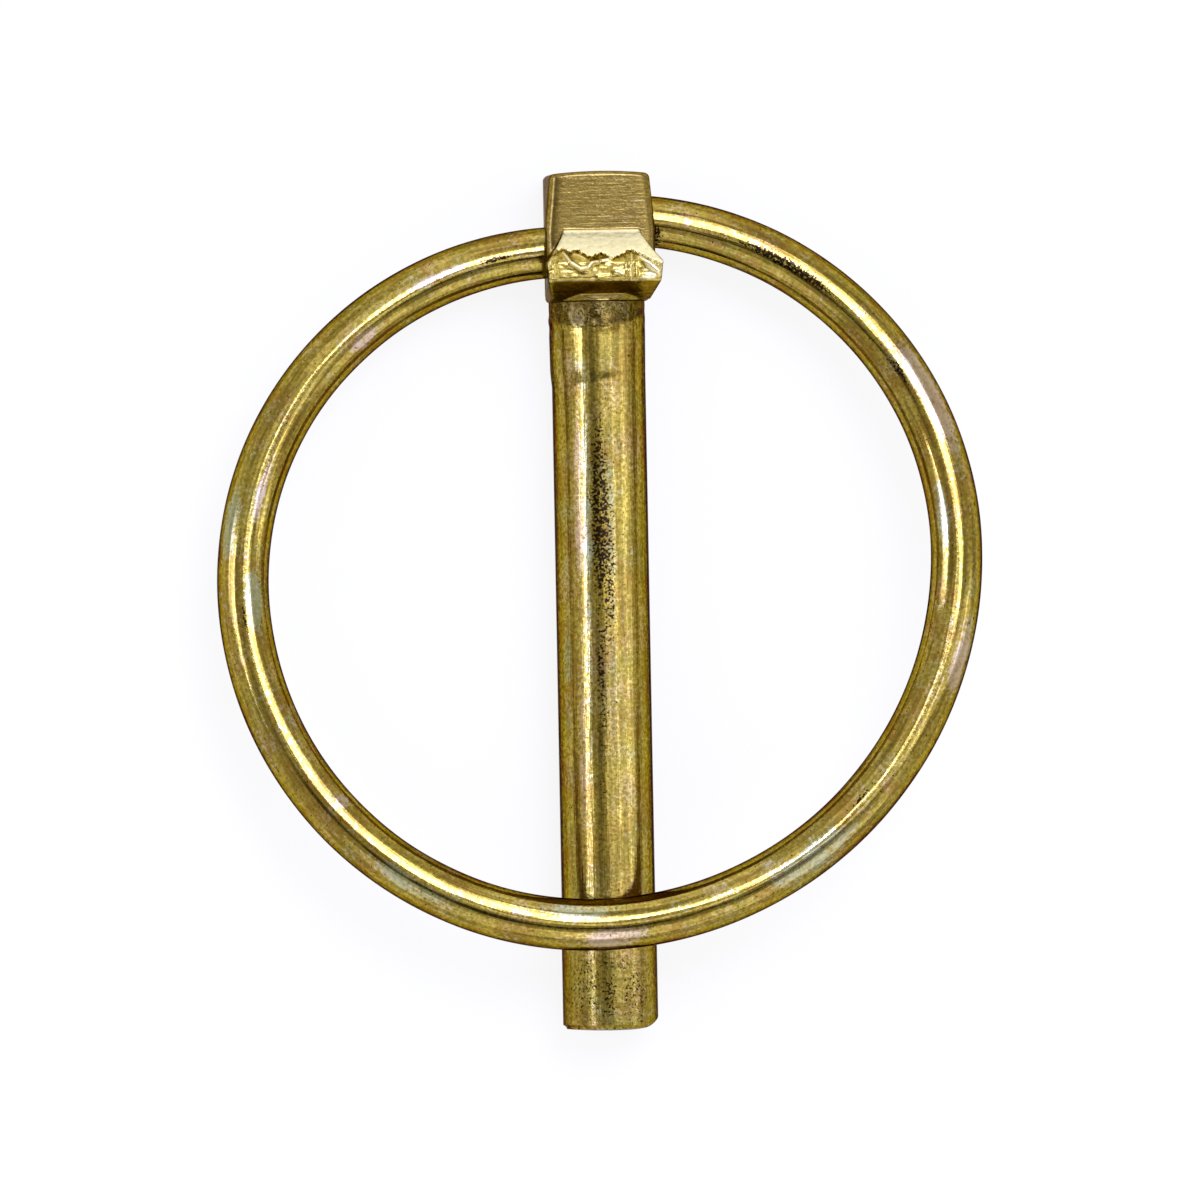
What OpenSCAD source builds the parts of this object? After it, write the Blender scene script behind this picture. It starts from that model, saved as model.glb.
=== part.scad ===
// Lynch pin: a forged pin whose head carries a snap ring of round spring wire.
// The stem runs along Y with the head at +Y. +Z is the side on which the ring
// closes, and the back of the head and stem lies flat at -Z. The origin is on
// the stem's axis, halfway along the gripped length.

/* [Stem] */
// Diameter of the plain stem
stem_d = 6.3; // [5.2:0.05:7.6]
// From the underside of the head to the middle of the closed ring's wire
grip_l = 41.7; // [34.8:0.1:50.1]
// Stem left past the middle of the ring's wire
tip_l = 7.25; // [5.6:0.05:10]
// How much thicker the neck is than the stem, right under the head
neck_swell = 0.24; // [0.14:0.02:0.4]
// The same at the neck's lower end
neck_low_swell = 0.12; // [0.04:0.02:0.12]
// Length of the neck, which was upset together with the head
neck_l = 5.2; // [2:0.1:8]
// How far the neck sits left of the stem's axis
neck_shift = 0.05; // [0:0.01:0.05]
// Length over which the neck fades into the stem
neck_fade = 1.1; // [0.4:0.1:3]
// How much thicker the cropped end is than the stem
end_swell = 0.1; // [0.04:0.02:0.3]
// Length over which it swells, halfway under the closed ring
swell_l = 4; // [3:0.1:6]
// Radius of the crown on the cropped end
crown_r = 25; // [15:1:80]
// Chamfer round the cropped end
tip_chamfer = 0.25; // [0.05:0.05:0.6]
// Width of the rounded break at one side of the cropped end
break_w = 2.15; // [1:0.05:2.8]
// Radius of that break
break_r = 3.1; // [2.9:0.05:6]

/* [Head] */
// Height of the head
head_h = 8.75; // [8.3:0.05:10.5]
// How much wider the head's top is than the stem
top_extra = 0.4; // [0.1:0.05:1]
// How much wider the head's back is than the stem
back_extra = 0.1; // [0.1:0.05:1]
// How much wider the nose is than the stem
nose_extra = 1.6; // [1:0.05:2]
// How far each side of the nose draws in at its lip
lip_in = 0.15; // [0.05:0.05:0.3]
// How far the head's front face stands in front of the stem
block_proud = 0.3; // [0.1:0.05:1]
// How far the nose stands out of the head's front face
nose_reach = 2.4; // [1:0.1:3.5]
// Rounding of the head's four upright edges
corner_r = 0.7; // [0.3:0.05:1.2]
// Rounding of the head's front and back top edges
top_edge_r = 0.4; // [0.2:0.05:0.8]
// Radius of the slight arch of the head's top, seen from the front
arch_r = 30; // [15:1:80]
// Height on the head at which the nose starts to stand out
nose_root_h = 4.85; // [4.35:0.05:5.5]
// Height at which the nose's slope turns into its front face
brow_h = 2.6; // [2.2:0.05:3]
// Height of the lower edge of the nose's front face
lip_h = 1.3; // [0.9:0.05:1.7]
// Rise of the nose's underside at its root
under_h = 0.5; // [0.3:0.05:0.7]
// Height of the chamfer along the lower edge of each side
foot_h = 0.45; // [0.2:0.05:0.6]
// Chamfer along the lower edge of the nose's front face
lip_chamfer = 0.2; // [0.05:0.05:0.4]
// Half width of the nose's slope where it leaves the head's front face
slope_half_w = 2.6; // [1.8:0.05:3]

/* [Hinge] */
// Height of the middle of the hinge line on the head
hinge_h = 4.45; // [4.2:0.05:5]
// How much higher the right hole's mouth is than the left one's
hole_offset = 2.35; // [0:0.05:2.5]
// Hinge line in front of the stem's axis
hinge_z = 0.2; // [-0.5:0.05:0.8]
// Gap all round a wire end in its hole
hinge_gap = 0.08; // [0.04:0.02:0.2]
// Straight length of each wire end in its hole
end_l = 1.6; // [1:0.1:2.2]
// Gap between a wire end and the bottom of its hole
end_gap = 0.3; // [0.1:0.05:0.6]
// How much wider each countersink opens than the wire swings, in degrees
sink_spare = 4; // [2:1:10]

/* [Ring] */
// Diameter of the ring's wire
wire_d = 3.5; // [2.9:0.05:3.8]
// From the stem's axis to the middle of the wire at the ring's far left
reach_left = 24.35; // [20.3:0.05:29.2]
// The same at its far right
reach_right = 23.65; // [19.7:0.05:28.4]
// Sideways place of the ring's lowest point
low_x = -1.35; // [-3:0.05:3]
// Bend radius of the wire just inside each hole
bend_r = 2.6; // [2:0.1:4]
// Gap between the closed ring and the stem
rest_gap = 0.05; // [0.02:0.01:0.2]

/* [Hidden] */
$fn = 96;

plating = [0.66, 0.58, 0.3];
spare = 1;                       // how far a cutter reaches past what it cuts
tuck = 0.15;                     // how far a wire's next stretch starts inside the last
hair = 0.01;                     // how much thinner it is

stem_r = stem_d / 2;
neck_r = stem_r + neck_swell / 2;
end_r = stem_r + end_swell / 2;
wire_r = wire_d / 2;
bore_r = wire_r + hinge_gap;

seat_y = grip_l / 2;             // underside of the head
rest_y = -grip_l / 2;            // where the closed ring crosses the stem
tip_y = rest_y - tip_l;          // cropped end
top_y = seat_y + head_h;

back_z = -neck_r;                // back of the head, flush with the neck
block_z = stem_r + block_proud;
nose_z = block_z + nose_reach;
top_w = stem_d + top_extra;
back_w = stem_d + back_extra;
nose_w = stem_d + nose_extra;

// Half width of the head's flaring sides at height z above the stem's axis
function side_x(z) = back_w / 2
    + (z - back_z) / (nose_z - back_z) * (nose_w - back_w) / 2;

// Hinge line: through the middles of both mouths, across the head
hinge_y = seat_y + hinge_h;
mouth_x = side_x(hinge_z);
hinge_tilt = atan2(hole_offset, 2 * mouth_x);

function dir(a) = [cos(a), sin(a)];
along = dir(hinge_tilt);
down = dir(hinge_tilt - 90);

// The closed ring leans forward so that its lowest point rests on the stem,
// halfway along the swelling of the stem's end
rest_z = (stem_r + end_r) / 2 + wire_r + rest_gap;
low_rel = [low_x, rest_y - hinge_y];
low_drop = low_rel * down;
lean = atan2(rest_z - hinge_z, low_drop);
low_exact = [0, hinge_y] + (low_rel * along) * along + low_drop / cos(lean) * down;

// Arcs of the ring share their end faces, so what places them is kept to whole
// tenths of a micron
function even(v) = round(v * 10000) / 10000;
low = [even(low_exact.x), even(low_exact.y)];

// Each half of the ring is worked out with x counted outwards, side = 1 on the
// right and -1 on the left. A quarter circle runs from the lowest point to the
// widest point, and a second arc, tangent there, runs up to the hole.
function reach(side) = even(side > 0 ? reach_right : reach_left);
function low_r(side) = reach(side) - side * low.x;
function wide(side) = [reach(side), low.y + low_r(side)];
function top_r(side, end) = let (d = end - wide(side))
    even((d.x * d.x + d.y * d.y) / (-2 * d.x));
function top_mid(side, end) = wide(side) - [top_r(side, end), 0];
function top_sweep(side, end) = let (d = end - top_mid(side, end)) atan2(d.y, d.x);

// In the hole the wire bends from its own heading to the hinge line. The bend
// starts at the mouth. Its start fixes the arc, and the arc fixes its heading,
// so the heading is settled in a few rounds.
function line_y(side, x) = hinge_y + side * tan(hinge_tilt) * x;
function turn(side, sweep) = 90 - sweep + side * hinge_tilt;
function bend_step(side, sweep) = sign(turn(side, sweep)) * bend_r
    * (dir(270 + side * hinge_tilt) - dir(180 + sweep));
function bend_end(side, sweep) = let (x = mouth_x - bend_step(side, sweep).x)
    [x, line_y(side, x)];
function bend_start(side, sweep) = bend_end(side, sweep) + bend_step(side, sweep);
function settled(side, sweep = 85, rounds = 12) = rounds == 0 ? sweep
    : settled(side, top_sweep(side, bend_start(side, sweep)), rounds - 1);

// Stem turned from one profile: chamfer, swollen end and plain stretch. A sphere
// crowns its end.
module stem() {
    crown_drop = crown_r - sqrt(crown_r * crown_r - end_r * end_r);
    chamfer_h = spare + crown_drop + tip_chamfer;
    low_y = tip_y - spare;
    intersection() {
        rotate([-90, 0, 0])
            rotate_extrude()
                polygon([[0, low_y], [end_r - chamfer_h, low_y], [end_r, low_y + chamfer_h],
                         [end_r, rest_y - swell_l / 2], [stem_r, rest_y + swell_l / 2],
                         [stem_r, seat_y + spare], [0, seat_y + spare]]);
        translate([0, tip_y + crown_r, 0])
            rotate([-90, 0, 0])
                union() {
                    sphere(r = crown_r);
                    cylinder(h = grip_l + head_h + tip_l, r = crown_r);
                }
    }
}

// Neck between head and stem, a little off the stem's axis
module neck() {
    low_neck_r = stem_r + neck_low_swell / 2;
    translate([-neck_shift, 0, 0])
        rotate([-90, 0, 0])
            rotate_extrude()
                polygon([[0, seat_y - neck_l - neck_fade],
                         [stem_r - neck_low_swell / 2, seat_y - neck_l - neck_fade],
                         [low_neck_r, seat_y - neck_l], [neck_r, seat_y],
                         [neck_r, seat_y + spare], [0, seat_y + spare]]);
}

// Rounded break at the right of the cropped end
module tip_break() {
    translate([end_r - break_w, tip_y, -stem_d])
        difference() {
            translate([0, -spare, 0])
                cube([break_w + spare, break_r + spare, 2 * stem_d]);
            translate([0, break_r, -spare])
                cylinder(h = 2 * (stem_d + spare), r = break_r);
        }
}

// Outline of the head seen from the front, below a top corner: widest at the
// nose's brow, drawn in towards the lip and the foot
module front_outline(corner) {
    half = [corner, [nose_w / 2, brow_h], [nose_w / 2 - lip_in, lip_h],
            [mouth_x, foot_h], [neck_r - hair, 0]];
    translate([0, seat_y, back_z - spare])
        linear_extrude(height = nose_z - back_z + 2 * spare)
            polygon(concat(half, [for (i = [4:-1:0]) [-half[i].x, half[i].y]]));
}

// Flaring sides of the head, seen from the top
module side_flare() {
    low_z = back_z - spare;
    high_z = nose_z + spare;
    translate([0, top_y + spare, 0])
        rotate([90, 0, 0])
            linear_extrude(height = head_h + 2 * spare)
                polygon([[-side_x(low_z), low_z], [side_x(low_z), low_z],
                         [side_x(high_z), high_z], [-side_x(high_z), high_z]]);
}

// Rectangle with rounded corners
module rounded(x0, y0, x1, y1, r) {
    translate([x0 + r, y0])
        square([x1 - x0 - 2 * r, y1 - y0]);
    translate([x0, y0 + r])
        square([x1 - x0, y1 - y0 - 2 * r]);
    for (x = [x0 + r, x1 - r], y = [y0 + r, y1 - r])
        translate([x, y])
            circle(r = r);
}

// Upper block of the head, with its rounded edges
module block() {
    intersection() {
        front_outline([top_w / 2, head_h]);
        side_flare();
        translate([0, top_y + spare, 0])
            rotate([90, 0, 0])
                linear_extrude(height = head_h + 2 * spare)
                    rounded(-nose_w / 2, back_z, nose_w / 2, block_z, corner_r);
        translate([-nose_w, 0, 0])
            rotate([90, 0, 90])
                linear_extrude(height = 2 * nose_w)
                    rounded(seat_y - head_h, back_z, top_y, block_z, top_edge_r);
        translate([0, top_y - arch_r, back_z - spare])
            cylinder(h = block_z - back_z + 2 * spare, r = arch_r);
    }
}

// Nose below the block's front face: slope, front face, lip and underside
module nose() {
    intersection() {
        front_outline([slope_half_w, nose_root_h]);
        side_flare();
        translate([-nose_w, seat_y, 0])
            rotate([90, 0, 90])
                linear_extrude(height = 2 * nose_w)
                    polygon([[nose_root_h, 0], [nose_root_h, block_z], [brow_h, nose_z],
                             [lip_h + lip_chamfer, nose_z], [lip_h, nose_z - lip_chamfer],
                             [under_h, block_z], [under_h, 0]]);
    }
}

// Blind hole along the hinge line, on one side of the head. It is countersunk
// from where the wire's bend begins, wide enough for the wire to swing round.
module hinge_hole(side) {
    sweep = settled(side);
    bend_t = bend_end(side, sweep).x / cos(hinge_tilt);
    bottom_t = bend_t - end_l - end_gap;
    mouth_t = mouth_x / cos(hinge_tilt) + wire_d;
    sink_h = mouth_t - bend_t;
    translate([0, hinge_y, hinge_z])
        rotate([0, 0, hinge_tilt])
            rotate([0, side * 90, 0]) {
                translate([0, 0, bottom_t])
                    cylinder(h = mouth_t - bottom_t, r = bore_r);
                translate([0, 0, bend_t])
                    cylinder(h = sink_h, r1 = bore_r,
                             r2 = bore_r + sink_h * tan(abs(turn(side, sweep)) + sink_spare));
            }
}

module forged_pin() {
    color(plating)
        difference() {
            union() {
                stem();
                neck();
                block();
                nose();
            }
            tip_break();
            hinge_hole(1);
            hinge_hole(-1);
        }
}

// Round wire bent along an arc in the ring's plane
module bow(mid, r, from, sweep, thick = wire_r) {
    translate([mid.x, mid.y, 0])
        rotate([0, 0, from])
            rotate_extrude(angle = sweep)
                translate([r, 0])
                    circle(r = thick);
}

// End of the wire in its hole: a bend, then a straight end on the hinge line.
// Each is a hair thinner than the wire before it and starts a little inside it,
// which joins them into one solid.
module wire_end(side, sweep) {
    start = bend_start(side, sweep);
    end = bend_end(side, sweep);
    bend = turn(side, sweep);
    translate([start.x, start.y, 0])
        rotate([0, 0, sweep])
            mirror([bend < 0 ? 1 : 0, 0, 0]) {
                translate([0, -tuck, 0])
                    rotate([-90, 0, 0])
                        cylinder(h = tuck, r = wire_r - hair);
                bow([-bend_r, 0], bend_r, 0, abs(bend), wire_r - hair);
            }
    translate([end.x, end.y, 0])
        rotate([0, 0, side * hinge_tilt])
            translate([tuck, 0, 0])
                rotate([0, -90, 0])
                    cylinder(h = tuck + end_l, r = wire_r - 2 * hair);
}

// One half of the ring, from its lowest point to its end in the head
module half_ring(side) {
    sweep = settled(side);
    start = bend_start(side, sweep);
    mirror([side > 0 ? 0 : 1, 0, 0]) {
        bow([side * low.x, wide(side).y], low_r(side), 270, 90);
        bow(top_mid(side, start), top_r(side, start), 0, sweep);
        wire_end(side, sweep);
    }
}

module snap_ring() {
    color(plating)
        translate([0, hinge_y, hinge_z])
            rotate([0, 0, hinge_tilt])
                rotate([-lean, 0, 0])
                    rotate([0, 0, -hinge_tilt])
                        translate([0, -hinge_y, 0])
                            for (side = [-1, 1])
                                half_ring(side);
}

forged_pin();
snap_ring();
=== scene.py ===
"""Lynch pin: a forged pin and its ring of sprung wire, both in yellow zinc plate.

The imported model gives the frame, the hinge and the outside sizes. Two surfaces
stand for its two nodes: the forging, with the scars that its tools left, and
the wire, swept along the ring. Sizes are in millimetres until a mesh is made.
x runs across the head, y up along the stem and z out towards the nose.
"""
import math

import bpy
import numpy as np
from mathutils import Matrix, Vector

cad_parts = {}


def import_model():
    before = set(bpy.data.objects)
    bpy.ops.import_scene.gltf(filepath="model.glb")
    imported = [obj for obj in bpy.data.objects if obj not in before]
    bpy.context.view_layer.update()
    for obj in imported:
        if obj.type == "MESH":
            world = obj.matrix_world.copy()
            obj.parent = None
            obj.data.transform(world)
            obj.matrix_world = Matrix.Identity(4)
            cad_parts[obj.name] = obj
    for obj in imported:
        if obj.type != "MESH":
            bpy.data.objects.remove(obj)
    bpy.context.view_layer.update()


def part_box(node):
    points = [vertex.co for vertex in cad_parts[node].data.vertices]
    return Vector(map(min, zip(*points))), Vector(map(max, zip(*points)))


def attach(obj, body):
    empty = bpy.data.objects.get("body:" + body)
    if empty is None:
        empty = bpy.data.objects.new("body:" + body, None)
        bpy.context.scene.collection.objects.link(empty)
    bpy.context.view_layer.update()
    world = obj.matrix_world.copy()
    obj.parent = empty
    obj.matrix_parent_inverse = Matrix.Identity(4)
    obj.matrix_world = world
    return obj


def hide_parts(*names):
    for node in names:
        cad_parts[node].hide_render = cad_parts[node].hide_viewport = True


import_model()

MM = 0.001
TINY = 1e-6

# Corners of the forging's box
pin_low, pin_high = (np.array(corner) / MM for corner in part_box("forged_pin"))

# Stem, which swells a little below the ring's resting place
STEM_R = 3.15
END_R = 3.2
REST_Y = -20.85
SWELL_L = 4.0

# Neck, under the head: it narrows a little, sits a little to the left, and its lower end fades
# out over the stem
NECK_R = 3.27
NECK_LOW_R = 3.21
NECK_L = 5.2
NECK_FADE = 1.1
NECK_DROP = 0.12
NECK_SHIFT = 0.05

# End that the cropping blade left: a shallow crown, broken away at the right
CROWN_R = 25.0
TIP_CHAMFER = 0.25
BREAK_W = 2.15
BREAK_R = 3.1

# Head: heights up the pin, then how far its faces lie from the stem's axis
HEAD_H = 8.75
TIP_Y = pin_low[1]
TOP_Y = pin_high[1]
SEAT_Y = TOP_Y - HEAD_H
FOOT_Y = SEAT_Y + 0.45
UNDER_Y = SEAT_Y + 0.5
LIP_Y = SEAT_Y + 1.3
BROW_Y = SEAT_Y + 2.6
ROOT_Y = SEAT_Y + 4.85
BACK_Z = pin_low[2]
BLOCK_Z = 3.45
NOSE_Z = pin_high[2]
BACK_HALF = 3.2
TOP_HALF = 3.35
NOSE_HALF = pin_high[0]
MEAN_HALF = 3.4
SLOPE_HALF = 2.6
FLARE = (NOSE_HALF - BACK_HALF) / (NOSE_Z - BACK_Z)
LIP_IN = 0.15
LIP_CHAMFER = 0.2
ARCH_R = 30.0
RIM_R = 0.3
# How far the foot draws in for each millimetre down, the ledge that the block leaves round the
# neck, and the rise of the chamfer from there
FOOT_DRAFT = 0.4
LEDGE = 0.12
CHAMFER_RISE = 0.85
# Powers that round the block's front and back corners and the nose's: higher is sharper
FRONT_CORNER = 12
BACK_CORNER = 34
NOSE_CORNER = 45

# Hinge: two blind holes, each higher or lower than the middle by half the offset
HINGE_Y = SEAT_Y + 4.45
HINGE_Z = 0.2
HOLE_OFFSET = 2.35
HINGE_GAP = 0.08
END_L = 1.6
END_GAP = 0.3
SINK_SPARE = math.radians(4)

# Ring of wire: 1 is its right side and -1 its left
WIRE_R = 1.75
REACH = {1: 23.65, -1: 24.35}
LOW_X = -1.35
BEND_R = 2.6
REST_GAP = 0.05

# Depth of the wire's roller marks, and of the scale on the neck
MARK_DEPTH = 0.008
SCALE_DEPTH = 0.03
# What the skins lie under the sizes above, so that marks and scale stay inside them
SKIN_IN = 0.012

# Points round the wire and round the pin, and the step along the wire
WIRE_SIDES = 72
WIRE_STEP = 0.15
PIN_SIDES = 400


def linear(colour):
    """An sRGB hex colour as linear RGBA."""
    srgb = np.array([int(colour[i : i + 2], 16) for i in (1, 3, 5)]) / 255
    rgb = np.where(srgb <= 0.04045, srgb / 12.92, ((srgb + 0.055) / 1.055) ** 2.4)
    return (*rgb.tolist(), 1.0)


def add(tree, kind, inputs=None, **settings):
    """Adds one node with its settings. Each input takes a value, or the socket that feeds it."""
    made = tree.nodes.new(kind)
    for name, value in settings.items():
        setattr(made, name, value)
    for key, value in (inputs or {}).items():
        if isinstance(value, bpy.types.NodeSocket):
            tree.links.new(value, made.inputs[key])
        else:
            made.inputs[key].default_value = value
    return made


def empty_tree(owner):
    """The node tree of a new material or world, with nothing in it yet."""
    owner.use_nodes = True
    owner.node_tree.nodes.clear()
    return owner.node_tree


def link_object(name, data):
    """Puts new data into the scene as an object."""
    made = bpy.data.objects.new(name, data)
    bpy.context.scene.collection.objects.link(made)
    return made


# ---------------------------------------------------------------- surfaces


def steps(*stretches):
    """Values along a line. Each stretch is (start, end, step), and the next begins where it ends."""
    parts = [np.arange(start, end - step / 2, step) for start, end, step in stretches]
    return np.concatenate([*parts, [stretches[-1][1]]])


def rise(value, start, end):
    """0 before start, 1 after end, and a smooth step between them."""
    t = np.clip((value - start) / (end - start), 0, 1)
    return t * t * (3 - 2 * t)


def spot(x, y, mid_x, mid_y, half_x, half_y):
    """1 in the middle of an oval, falling to 0 past its rim."""
    return 1 - rise(np.hypot((x - mid_x) / half_x, (y - mid_y) / half_y), 0.5, 1.25)


def waves(points, size, count, seed):
    """Uneven ground of about -1 to 1: the sum of count plane waves, each about size long.
    Their directions, lengths and phases are drawn by seed."""
    draw = np.random.default_rng(seed)
    fronts = draw.normal(size=(count, 3))
    fronts *= 2 * math.pi / size / np.linalg.norm(fronts, axis=1, keepdims=True)
    fronts *= draw.uniform(0.7, 1.4, (count, 1))
    phases = draw.uniform(0, 2 * math.pi, count)
    total = np.zeros(points.shape[:-1])
    for front, phase in zip(fronts, phases):
        total += np.sin(points @ front + phase)
    return total / math.sqrt(count / 2) / 2


def closed_mesh(name, grid, low_pole, high_pole):
    """A closed skin from rows of points that each run once round, with a point to close each end.
    Rows climb, and points run anticlockwise seen from the end, so that the faces look outwards."""
    rows, count = grid.shape[:2]
    points = np.concatenate([grid.reshape(-1, 3), [low_pole, high_pole]]) * MM
    here = np.arange(rows - 1)[:, None] * count
    turn = np.arange(count)
    ahead = (turn + 1) % count
    corners = [here + turn, here + ahead, here + count + ahead, here + count + turn]
    quads = np.stack(corners, axis=-1).reshape(-1, 4)
    last = (rows - 1) * count
    low = np.stack([ahead, turn, np.full(count, rows * count)], axis=-1)
    high = np.stack([last + turn, last + ahead, np.full(count, rows * count + 1)], axis=-1)
    mesh = bpy.data.meshes.new(name)
    mesh.from_pydata(points.tolist(), [], [*quads.tolist(), *low.tolist(), *high.tolist()])
    mesh.shade_smooth()
    return link_object(name, mesh)


def store(piece, name, values):
    """Keeps three values for each of a mesh's points under a name that its material reads."""
    made = piece.data.attributes.new(name, "FLOAT_VECTOR", "POINT")
    made.data.foreach_set("vector", values.astype(np.float32).ravel())


# ---------------------------------------------------------------- ring


def heading(angle):
    """The direction that lies at an angle from x, in the ring's plane."""
    return np.array([math.cos(angle), math.sin(angle)])


def ring_layout():
    """Where the ring runs in its own plane, worked out from the hinge and the resting place.
    x counts outwards on each side. A quarter circle runs from the lowest point to the widest one,
    a second arc runs on to the hole, and there the wire bends onto the hinge line."""
    mouth_x = BACK_HALF + (HINGE_Z - BACK_Z) * FLARE
    tilt = math.atan2(HOLE_OFFSET, 2 * mouth_x)
    along, down = heading(tilt), heading(tilt - math.pi / 2)
    rest_z = (STEM_R + END_R) / 2 + WIRE_R + REST_GAP
    low_rel = np.array([LOW_X, REST_Y - HINGE_Y])
    drop = low_rel @ down
    lean = math.atan2(rest_z - HINGE_Z, drop)
    low = np.array([0, HINGE_Y]) + (low_rel @ along) * along + drop / math.cos(lean) * down
    sides = {}
    for side in (1, -1):
        low_r = REACH[side] - side * low[0]
        wide = np.array([REACH[side], low[1] + low_r])
        # How far the second arc sweeps depends on where the bend begins, which depends on the
        # sweep. A first guess of 85 degrees gets closer with each pass.
        sweep = math.radians(85)
        for _ in range(12):
            turn = math.pi / 2 - sweep + side * tilt
            bend = heading(-math.pi / 2 + side * tilt) - heading(math.pi + sweep)
            step = math.copysign(BEND_R, turn) * bend
            end_x = mouth_x - step[0]
            end = np.array([end_x, HINGE_Y + side * math.tan(tilt) * end_x])
            start = end + step
            across = start - wide
            top_r = across @ across / (-2 * across[0])
            top_mid = wide - [top_r, 0]
            sweep = math.atan2(*(start - top_mid)[::-1])
        low_mid = np.array([side * low[0], wide[1]])
        sides[side] = dict(low_mid=low_mid, low_r=low_r, top_mid=top_mid, top_r=top_r,
                           sweep=sweep, turn=turn, start=start, end=end)
    return dict(tilt=tilt, lean=lean, mouth_x=mouth_x, sides=sides)


def half_path(lay, side):
    """One side's centre line, from the lowest point to the wire's end, as points a step apart.
    An arc is middle + radius (cos, sin) of an angle that runs over its sweep."""
    part = lay["sides"][side]

    def arc(mid, r, start, sweep):
        count = max(3, int(abs(sweep) * r / WIRE_STEP))
        angle = np.linspace(start, start + sweep, count)[:, None]
        return mid + r * np.concatenate([np.cos(angle), np.sin(angle)], axis=1)

    low = arc(part["low_mid"], part["low_r"], -math.pi / 2, math.pi / 2)
    top = arc(part["top_mid"], part["top_r"], 0, part["sweep"])
    hand = math.copysign(1, part["turn"])
    bend_mid = part["start"] - hand * BEND_R * heading(part["sweep"])
    bend_from = part["sweep"] if hand > 0 else part["sweep"] + math.pi
    bend = arc(bend_mid, BEND_R, bend_from, part["turn"])
    inwards = -heading(side * lay["tilt"])
    straight = part["end"] + np.linspace(0, END_L, 12)[:, None] * inwards
    path = np.concatenate([low, top[1:], bend[1:], straight[1:]])
    return path * [side, 1]


def turned(points, lay):
    """Turns the ring's plane about the hinge line, from flat to its closed place on the stem."""
    turn = Matrix.Rotation(lay["tilt"], 3, "Z") @ Matrix.Rotation(-lay["lean"], 3, "X")
    turn = turn @ Matrix.Rotation(-lay["tilt"], 3, "Z")
    return (points - [0, HINGE_Y, 0]) @ np.array(turn).T + [0, HINGE_Y, HINGE_Z]


# Marks on the wire: pink and green stains in the plating, and dark marks that are painted: the
# first is painted shade in the gap at the right mouth, the rest are painted dark reflections
# beside the wire's highlights. Then the stretch along the wire from the right mouth, and the
# mark's middle and half width across the wire
PINK, GREEN, PAINTED_DARK = range(3)
WIRE_STAINS_SHADE_AND_REFLECTIONS = (
    (PINK, 18.0, 27.5, 0.7, 0.8),
    (PINK, 38.0, 43.5, 1.1, 0.55),
    (PINK, 68.6, 73.4, 1.0, 0.75),
    (PINK, 91.1, 92.5, -0.8, 0.5),
    (PINK, 112.0, 118.0, -0.4, 0.3),
    (PINK, 126.3, 129.0, -0.8, 0.5),
    (PINK, 131.6, 136.7, 0.1, 0.35),
    (GREEN, 28.0, 34.0, -0.9, 0.5),
    (GREEN, 53.0, 61.0, 0.55, 1.0),
    (GREEN, 71.0, 76.0, -0.7, 0.6),
    (GREEN, 82.0, 88.0, 0.7, 0.6),
    (GREEN, 105.0, 109.6, -0.6, 0.6),
    (GREEN, 109.5, 115.0, 1.2, 0.4),
    # Painted shade in the gap where the wire meets the right mouth
    (PAINTED_DARK, -0.4, 0.9, -1.2, 0.8),
    # Painted dark reflections, lying beside the wire's highlights
    (PAINTED_DARK, 5.6, 14.0, -0.16, 0.38),
    (PAINTED_DARK, 18.8, 21.6, -0.3, 0.2),
    (PAINTED_DARK, 50.9, 52.6, -0.30, 0.15),
    (PAINTED_DARK, 105.2, 107.3, 0.15, 0.15),
    (PAINTED_DARK, 137.0, 139.5, -0.1, 0.2),
)
# How far the right mouth lies from the bore's own mouth, along the wire
MOUTH_L = 1.3


def snap_ring(lay):
    """A circle carried along the ring's centre line:
    point = path + r (cos a * outwards + sin a * the plane's normal).
    r is the wire's radius, less the shallow marks that straightening and forming rolls leave."""
    path = np.concatenate([half_path(lay, 1)[::-1], half_path(lay, -1)[1:]])
    ahead = np.gradient(path, axis=0)
    ahead /= np.linalg.norm(ahead, axis=1, keepdims=True)
    outwards = np.stack([-ahead[:, 1], ahead[:, 0]], axis=1)
    strides = np.linalg.norm(np.diff(path, axis=0), axis=1)
    run = np.concatenate([[0], np.cumsum(strides)])
    angle = np.linspace(0, 2 * math.pi, WIRE_SIDES, endpoint=False)
    # The same points on the straight wire: across it, up from the ring's plane, and along it
    across, up, along = np.broadcast_arrays(WIRE_R * np.cos(angle), WIRE_R * np.sin(angle), run[:, None])
    straight = np.stack([across, up, along], axis=-1)
    # Marks about 2 mm across and three times as long, which fade out before the two ends
    marks = waves(straight * [1, 1, 0.3], size=2.2, count=24, seed=5)
    free = rise(np.minimum(run, run[-1] - run), 4, 8)[:, None]
    r = WIRE_R - SKIN_IN - MARK_DEPTH * marks * free - SKIN_IN * (1 - free)
    flat = np.zeros((*r.shape, 3))
    flat[..., :2] = path[:, None] + (r * np.cos(angle))[..., None] * outwards[:, None]
    flat[..., 2] = r * np.sin(angle)
    poles = [turned(np.array([*path[i], 0.0]), lay) for i in (0, -1)]
    ring = closed_mesh("wire_ring", turned(flat, lay), *poles)
    straight = np.concatenate([straight.reshape(-1, 3), [[0, 0, 0], [0, 0, run[-1]]]])
    store(ring, "straight", straight)
    across, up, along = straight.T
    from_mouth = along - END_L - MOUTH_L
    # The pink and green stains, and the painted shade and painted dark reflections
    stains_and_shade = np.zeros((len(along), 3))
    for tint, start, end, middle, half_width in WIRE_STAINS_SHADE_AND_REFLECTIONS:
        shape = spot(from_mouth, across, (start + end) / 2, middle, (end - start) / 2, half_width)
        stains_and_shade[:, tint] = np.maximum(stains_and_shade[:, tint], shape)
    # They lie on the side that faces forwards
    store(ring, "stain_and_shade", stains_and_shade * rise(up, -0.2, 0.3)[:, None])
    return ring
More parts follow.
